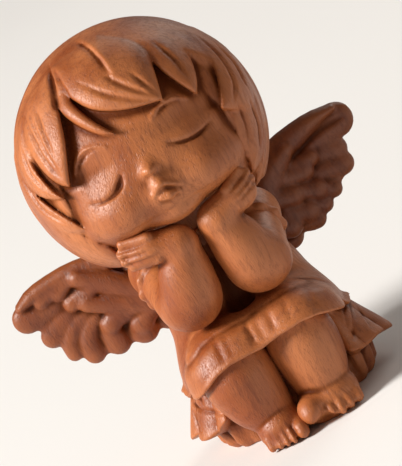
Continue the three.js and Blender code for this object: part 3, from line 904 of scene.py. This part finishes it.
def hem_details(clay):
    """A rolled edge, the line stitched above it, and small folds between the two."""
    slices, (x, y, z) = clay.window(clay.low, (BEYOND, BEYOND, BEYOND))
    height = below_hem(x, y, z)
    rolled = np.exp(-(((height - 0.4) / 0.55) ** 2))
    stitched = np.exp(-(((height - STITCHED_AT) / 0.42) ** 2)) * ease(-y, 2, 8)
    puffed = ease(height, 0.6, 1.6) * ease(5.0 - height, 0.4, 1.4) * ease(-y, 6, 12)
    folds = sum(deep * np.exp(-(((x - at - 0.08 * height) / 0.55) ** 2)) for at, deep in CREASES)
    clay.field[slices] += 0.28 * stitched - 0.35 * rolled + puffed * (0.6 * folds - 0.2)


def sleeves(clay):
    """Puffed shoulders whose edges are gathered into a frill round each upper arm."""
    for side in (-1, 1):
        shoulder, elbow = arm_joints(side)[:2]
        along = (elbow - shoulder) / np.linalg.norm(elbow - shoulder)
        clay.add(limb((side * 4, 1.2, 32.2), 5.6, shoulder + (-side * 0.6, 0.4, -0.6), 4.8), 2.5)
        cuff = shoulder + along * 4.6
        clay.add(limb(shoulder, 4.7, cuff, 4.8), 1.5)
        out = np.cross(along, AXES[2])
        out /= np.linalg.norm(out)
        up = np.cross(out, along)

        def round_arm(turn, radius, further):
            return cuff + along * further + (out * cos(turn) + up * sin(turn)) * radius

        turns = np.linspace(0, 2 * pi, 91)
        waves = 0.32 * np.cos(11 * turns)
        frill = [round_arm(t, 4.8 + wave, 0.5 + 0.5 * wave) for t, wave in zip(turns, waves)]
        tube(clay, frill, 0.55, 0.9)
        tube(clay, [round_arm(t, 5.05, -0.9) for t in turns[::3]], 0.3, 0.4, cut=True)


def collar(clay):
    """A round rolled collar, a little lower in front."""
    rim = [(7.4 * sin(t), 1.6 - 6.9 * cos(t), 37.0 - 0.6 * cos(t)) for t in np.linspace(0, 2 * pi, 61)]
    tube(clay, rim, 0.8, 0.6)


# ---- wings
# Every feather is (level, half widths, points from base to tip) on the wing's own plane, outwards and
# upwards from its root. Level is how far it stands to the front.
RIGHT_FEATHERS = [
    (0, (2.5, 2.6), [(4, -4.5), (6.4, -9.2)]),
    (0, (1.6, 1.9, 2), [(16.5, 0.6), (22.5, -1), (26, -3.1)]),
    (0.3, (2, 2.5, 2.6), [(16.5, 3.6), (23.6, 2.7), (28.3, 1.9)]),
    (0.2, (1.4, 1.6, 1.6, 1.5), [(16.5, -1), (21.3, -2.9), (23.8, -5.2), (24.1, -7.4)]),
    (0.4, (1.3, 1.7, 1.9, 2), [(16, -2.2), (19.6, -4.6), (20.9, -6.8), (21, -9)]),
    (0.6, (1.5, 2, 2.3), [(14.5, -3.6), (16.4, -6.4), (16.5, -9.2)]),
    (0.7, (2, 2.4, 2.6), [(9.5, -4.6), (11.4, -7.4), (11.4, -9.3)]),
    (1.1, (1, 1.4), [(21.5, 4.4), (24.6, 3.9)]),
    (1.3, (1.2, 1.5), [(18.5, 4.8), (21.2, 3.7)]),
    (1.4, (1.3, 1.5), [(17.2, 1.9), (20, 0.9)]),
    (1.8, (1.3, 1.4), [(15.6, 1.8), (18.2, 0.3)]),
    (1.5, (1.8, 1.9, 1.8), [(10.5, -4.6), (14.2, -4.8), (16, -5.6)]),
    (1.6, (1.9, 2), [(8, -5.6), (11.2, -8)]),
    (2.1, (1.8, 1.9, 1.5), [(7.5, -5.4), (13.5, -2.5), (17.6, -0.4)]),
]
LEFT_FEATHERS = [
    (0, (2.5, 2.5), [(5, -4.5), (8.8, -8.2)]),
    (0, (1.6, 1.9, 2.1), [(14.5, 0.9), (20.8, 1.2), (23.4, 0.4)]),
    (0.3, (2.2, 2.8, 3.1), [(14.4, 3), (21, 4.4), (26, 4.7)]),
    (0.2, (1.5, 1.9, 2.1), [(15.4, -0.8), (20.4, -1.9), (23.2, -2.4)]),
    (0.4, (1.4, 1.7, 1.6), [(14.6, -2.4), (18.2, -4.5), (19.6, -5.3)]),
    (0.5, (1.5, 1.7, 1.6), [(12.4, -3.6), (15.6, -5.9), (16.9, -6.7)]),
    (0.6, (1.8, 2, 1.9), [(9, -4.6), (12.6, -7.3), (14.3, -8)]),
    (1.2, (1.2, 1.5), [(15, 2.4), (18.6, 1.8)]),
    (1.3, (1.6, 1.9), [(13.6, -2), (17, -3.6)]),
    (1.5, (1.7, 1.9), [(12.8, 1.2), (16.4, 0.6)]),
    (1.5, (1.8, 2), [(10.4, -4.4), (13.9, -6)]),
    (1.9, (2, 2), [(6.4, -4.2), (9.8, -6.6)]),
    (2, (1.8, 1.9), [(9.4, -1), (12.8, -2.1)]),
]
# The bone along the top of each wing and the roll of down that hangs from it, given like feathers.
RIGHT_BONES = [
    (0.8, (2.2, 1.9, 1.5, 0.8), [(12, 4.6), (17.8, 5.7), (24.8, 5.5), (28.3, 4.5)]),
    (1.9, (2.2, 2.4, 1.7), [(6, -4.2), (12.4, 1.1), (17, 4.6)]),
]
LEFT_BONES = [
    (0.8, (2.8, 2.6, 1.7, 0.7), [(9, 4.2), (15, 6), (21.4, 7.2), (26.2, 7.3)]),
    (1.8, (2.6, 2.8, 1.6), [(5.6, -2.4), (10.6, 2.8), (15.4, 5.6)]),
]
RIGHT_OUTLINE = [
    (-1, 2), (7, 3), (12, 6.4), (16.5, 7), (24.8, 6.7), (28.6, 4.9), (30.2, 1.8), (28, -1.2),
    (27.2, -4.2), (24.9, -6), (24.9, -8.2), (22.6, -10), (19.4, -10.9), (16.6, -11.2), (8.3, -11.4),
    (-1, -8),
]
LEFT_OUTLINE = [
    (-1, 3), (7, 5.6), (15.4, 8.2), (20, 8.6), (24.4, 8.3), (26.8, 7.2), (28.6, 4.8), (26.4, 2.2),
    (25, 0.4), (24.9, -2.6), (23.8, -4.3), (20.2, -6.4), (17.4, -7.8), (15.6, -9.3), (12, -9.3),
    (8.6, -10.4), (-1, -8),
]
WING_SWEEP = 0.2  # how far back a wing runs for each millimetre outwards
FEATHER_THICKNESS, BONE_THICKNESS = 1.25, 1.7  # half of each
FEATHER_POINTS = 9


def feather(clay, level, widths, points, thickness=FEATHER_THICKNESS):
    """One domed feather along a curved line."""
    ends = np.insert(curve(points, FEATHER_POINTS), 1, -level, axis=1)
    given = np.linspace(0, 1, len(widths))
    widths = np.interp(np.linspace(0, 1, FEATHER_POINTS), given, widths)
    parts = [blade(ends[i], ends[i + 1], widths[i : i + 2], thickness) for i in range(FEATHER_POINTS - 1)]
    clay.join(parts, 0.5)


def build_wing(side):
    """A thin plate with feathers on both faces, the bone along its top and the root in the back."""
    name = SIDES[side] + "_wing"
    low = block(name)[0]
    root = np.array([side * 5, low[1] + 3, 32])
    feathers = RIGHT_FEATHERS if side < 0 else LEFT_FEATHERS
    bones = RIGHT_BONES if side < 0 else LEFT_BONES
    outline = np.array(RIGHT_OUTLINE if side < 0 else LEFT_OUTLINE)
    clay = Clay((-6, -7, -13.5), (33, 5, 12))

    def plate(x, y, z):
        return np.maximum(outline_distance(x, z, outline) + 0.7, np.abs(y - 0.1) - 1)

    clay.add(Shape((-2, -2, -13), (32, 2, 11), plate))
    for level, widths, points in feathers:
        feather(clay, level, widths, points)
        if level < 1:
            feather(clay, -0.6 - 0.3 * level, widths, points)
    if side > 0:
        shaft = curve([(17.5, 4), (22, 4.9), (27, 4.9)], 16)
        front = clay.hit([(u, -7, w) for u, w in shaft], AXES[1])
        tube(clay, front, taper([0, 0.3, 0.8, 1], [0.15, 0.4, 0.3, 0.05]), 0.8, cut=True)
    for level, widths, points in bones:
        feather(clay, level, widths, points, BONE_THICKNESS)
    clay.add(ellipsoid((0.5, 0.4, -1.6), (4.4, 3.4, 7.6)), 1.5)
    clay.add(ellipsoid((4, -0.6, -2.8), (6.5, 1.9, 7.2)), 1)
    turn = np.array([[side, 0, 0], [WING_SWEEP, 1, 0], [0, 0, 1]], float)
    place_piece(clay, name, root, turn)


# ---- wood
class Shader:
    """A node material, built with one short call for each node."""

    def __init__(self, name):
        self.material = bpy.data.materials.new(name)
        self.material.use_nodes = True
        self.tree = self.material.node_tree
        self.tree.nodes.clear()

    def node(self, kind, sockets=None, **settings):
        made = self.tree.nodes.new("ShaderNode" + kind)
        for name, value in settings.items():
            setattr(made, name, value)
        for socket, value in (sockets or {}).items():
            if isinstance(value, bpy.types.NodeSocket):
                self.tree.links.new(value, made.inputs[socket])
            else:
                made.inputs[socket].default_value = value
        return made

    def noise(self, place, scale, detail=2.0, roughness=0.5):
        """Noise stretched along the grain. scale is the number of patches in a metre along each axis."""
        stretched = self.node("Mapping", {"Vector": place, "Scale": scale})
        sockets = {"Vector": stretched.outputs[0], "Scale": 1.0, "Detail": detail}
        return self.node("TexNoise", {**sockets, "Roughness": roughness}).outputs["Fac"]

    def ramp(self, value, low, high, start=0.0, end=1.0):
        sockets = {"Value": value, 1: low, 2: high, 3: start, 4: end}
        return self.node("MapRange", sockets, interpolation_type="SMOOTHSTEP").outputs[0]

    def math(self, operation, first, second):
        return self.node("Math", {0: first, 1: second}, operation=operation).outputs[0]

    def mix(self, share, first, second):
        return self.node("Mix", {"Factor": share, 6: first, 7: second}, data_type="RGBA").outputs[2]

    def finish(self, surface):
        """The material, once its surface is given as the inputs of a Principled BSDF."""
        bsdf = self.node("BsdfPrincipled", surface)
        self.node("OutputMaterial", {"Surface": bsdf.outputs[0]})
        return self.material


def srgb(red, green, blue):
    """A colour given as 0 to 255, as Blender's linear values."""
    channels = [c / 255 for c in (red, green, blue)]
    return (*[c / 12.92 if c < 0.04045 else ((c + 0.055) / 1.055) ** 2.4 for c in channels], 1)


def wood(name, *colours):
    """Wood whose grain runs up the figure. Grooves and recesses get painted shade, and ridges a paler tone
    that is partly rubbed wear and partly painted highlight.
    """
    light, middle, dark, deep = (srgb(*colour) for colour in colours)
    shader = Shader(name)
    place = shader.node("TexCoord").outputs["Object"]
    wander = shader.node("TexNoise", {"Vector": place, "Scale": 45.0, "Detail": 1.0})
    bent = shader.node("VectorMath", {0: wander.outputs["Color"], "Scale": 0.006}, operation="SCALE")
    place = shader.node("VectorMath", {0: place, 1: bent.outputs[0]}).outputs[0]
    band = shader.noise(place, (110, 160, 14), 2)
    fibre = shader.noise(place, (1500, 1500, 110), 4, 0.65)
    pore = shader.ramp(shader.noise(place, (5200, 5200, 900), 1), 0.56, 0.74)
    fleck = shader.ramp(shader.noise(place, (3200, 3200, 420), 2), 0.60, 0.78)

    colour = shader.mix(shader.ramp(band, 0.3, 0.7), middle, light)
    colour = shader.mix(shader.ramp(fibre, 0.45, 0.75, 0, 0.5), colour, dark)
    colour = shader.mix(shader.math("MULTIPLY", pore, 0.25), colour, dark)
    colour = shader.mix(shader.math("MULTIPLY", fleck, 0.18), colour, deep)
    hollow = shader.node("Attribute", attribute_name="hollow").outputs["Fac"]
    # Painted shade: grooves and recesses are mixed towards the deep colour.
    colour = shader.mix(shader.ramp(hollow, 0.50, 0.76, 0, 0.82), colour, deep)
    # Ridges are mixed towards the light colour: partly rubbed wear, partly a painted highlight.
    colour = shader.mix(shader.ramp(hollow, 0.47, 0.28, 0, 0.4), colour, light)

    grit = shader.noise(place, (4000, 4000, 1500), 2, 0.6)
    height = shader.math("SUBTRACT", shader.math("MULTIPLY", fibre, 0.7), shader.math("MULTIPLY", pore, 0.8))
    height = shader.math("ADD", height, shader.math("MULTIPLY", grit, 1.4))
    bump = shader.node("Bump", {"Height": height, "Strength": 0.5, "Distance": 0.0001})
    return shader.finish({
        "Base Color": colour,
        "Roughness": shader.ramp(fibre, 0.3, 0.7, 0.38, 0.52),
        "Normal": bump.outputs[0],
        "IOR": 1.5,
        "Specular IOR Level": shader.ramp(hollow, 0.5, 0.7, 0.5, 0.1),
    })


# The deep colour serves both dark grain flecks and the painted shade in hollows; the light colour serves
# both pale grain and the ridges' painted highlight.
CARVED_WOOD = wood("oiled_carved_wood", (184, 110, 62), (140, 67, 21), (92, 32, 4), (66, 19, 1))
# The wings get a darker copy of the carved wood: painted shade, standing in for the shade they lie in.
SHADED_WING_WOOD = wood("wing_wood_with_painted_shade", (150, 82, 38), (112, 50, 14), (72, 23, 3), (42, 11, 0))
DOWEL_WOOD = wood("plain_dowel_wood", (214, 170, 124), (196, 146, 100), (150, 98, 58), (104, 60, 30))


# ---- studio
FLOOR_REACH = 4.0  # metres
FOCAL_LENGTH, SENSOR_WIDTH = 229.4, 36
CAMERA_DISTANCE = 0.5
ELEVATION = radians(12)  # of the camera over the lap
LEAN = radians(30.5)  # of the cherub to the left of the picture
LIGHTS = [  # name, direction from the figure, distance, size, power, colour
    ("key", (-0.84, -0.22, 0.52), 2.4, 0.80, 100, (1.0, 0.96, 0.91)),
    ("fill", (-0.1, -0.95, 0.05), 3.2, 2.40, 3.5, (1.0, 0.84, 0.68)),
    ("side", (0.85, -0.4, 0.12), 3.2, 2.00, 6, (1.0, 0.84, 0.70)),
    ("rim", (0.6, 0.7, 0.55), 3.2, 2.00, 26, (1.0, 0.95, 0.88)),
]


def build_floor():
    shader = Shader("pale_floor")
    place = shader.node("TexCoord").outputs["Object"]
    tone = shader.noise(place, (3, 3, 3))
    colour = shader.mix(tone, srgb(234, 233, 232), srgb(240, 240, 239))
    mesh = bpy.data.meshes.new("floor")
    corners = [(x * FLOOR_REACH, y * FLOOR_REACH, 0) for x, y in ((-1, -1), (1, -1), (1, 1), (-1, 1))]
    mesh.from_pydata(corners, [], [(0, 1, 2, 3)])
    mesh.materials.append(shader.finish({"Base Color": colour, "Roughness": 0.9}))
    put("floor", mesh)


def soft_light(target, name, direction, distance, size, power, colour):
    lamp = bpy.data.lights.new(name, "AREA")
    lamp.shape = "DISK"
    lamp.size = size
    lamp.energy = power
    lamp.color = colour
    light = put(name, lamp)
    direction = Vector(direction).normalized()
    light.location = target + direction * distance
    light.rotation_euler = direction.to_track_quat("Z", "Y").to_euler()


def build_camera(target):
    """Looks down at the lap a little, and is rolled so that the cherub leans."""
    lens = bpy.data.cameras.new("camera")
    lens.sensor_width = SENSOR_WIDTH
    lens.lens = FOCAL_LENGTH
    camera = put("camera", lens)
    back = Vector((0, -cos(ELEVATION), sin(ELEVATION)))
    camera.location = target + back * CAMERA_DISTANCE
    camera.rotation_mode = "QUATERNION"
    camera.rotation_quaternion = back.to_track_quat("Z", "Y") @ Quaternion((0, 0, 1), -LEAN)
    bpy.context.scene.camera = camera


def build_studio():
    low, high = CAD_BOX
    middle = (low + high) / 2
    build_floor()
    build_camera(Vector((middle.x + 0.0015, middle.y - 0.0018, high.z * 0.475)))
    for light in LIGHTS:
        soft_light(middle, *light)
    world = bpy.data.worlds.new("studio")
    world.use_nodes = True
    background = world.node_tree.nodes["Background"].inputs
    background["Color"].default_value = (1.0, 0.93, 0.86, 1)
    background["Strength"].default_value = 0.14
    bpy.context.scene.world = world
    bpy.context.scene.view_settings.view_transform = "Standard"


build_head()
for SIDE in (-1, 1):
    build_arm(SIDE)
    build_leg(SIDE)
    build_wing(SIDE)
build_dress()
for NODE, NODE_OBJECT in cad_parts.items():
    if NODE.endswith("_dowel"):
        NODE_OBJECT.data.materials.clear()
        NODE_OBJECT.data.materials.append(DOWEL_WOOD)
build_studio()
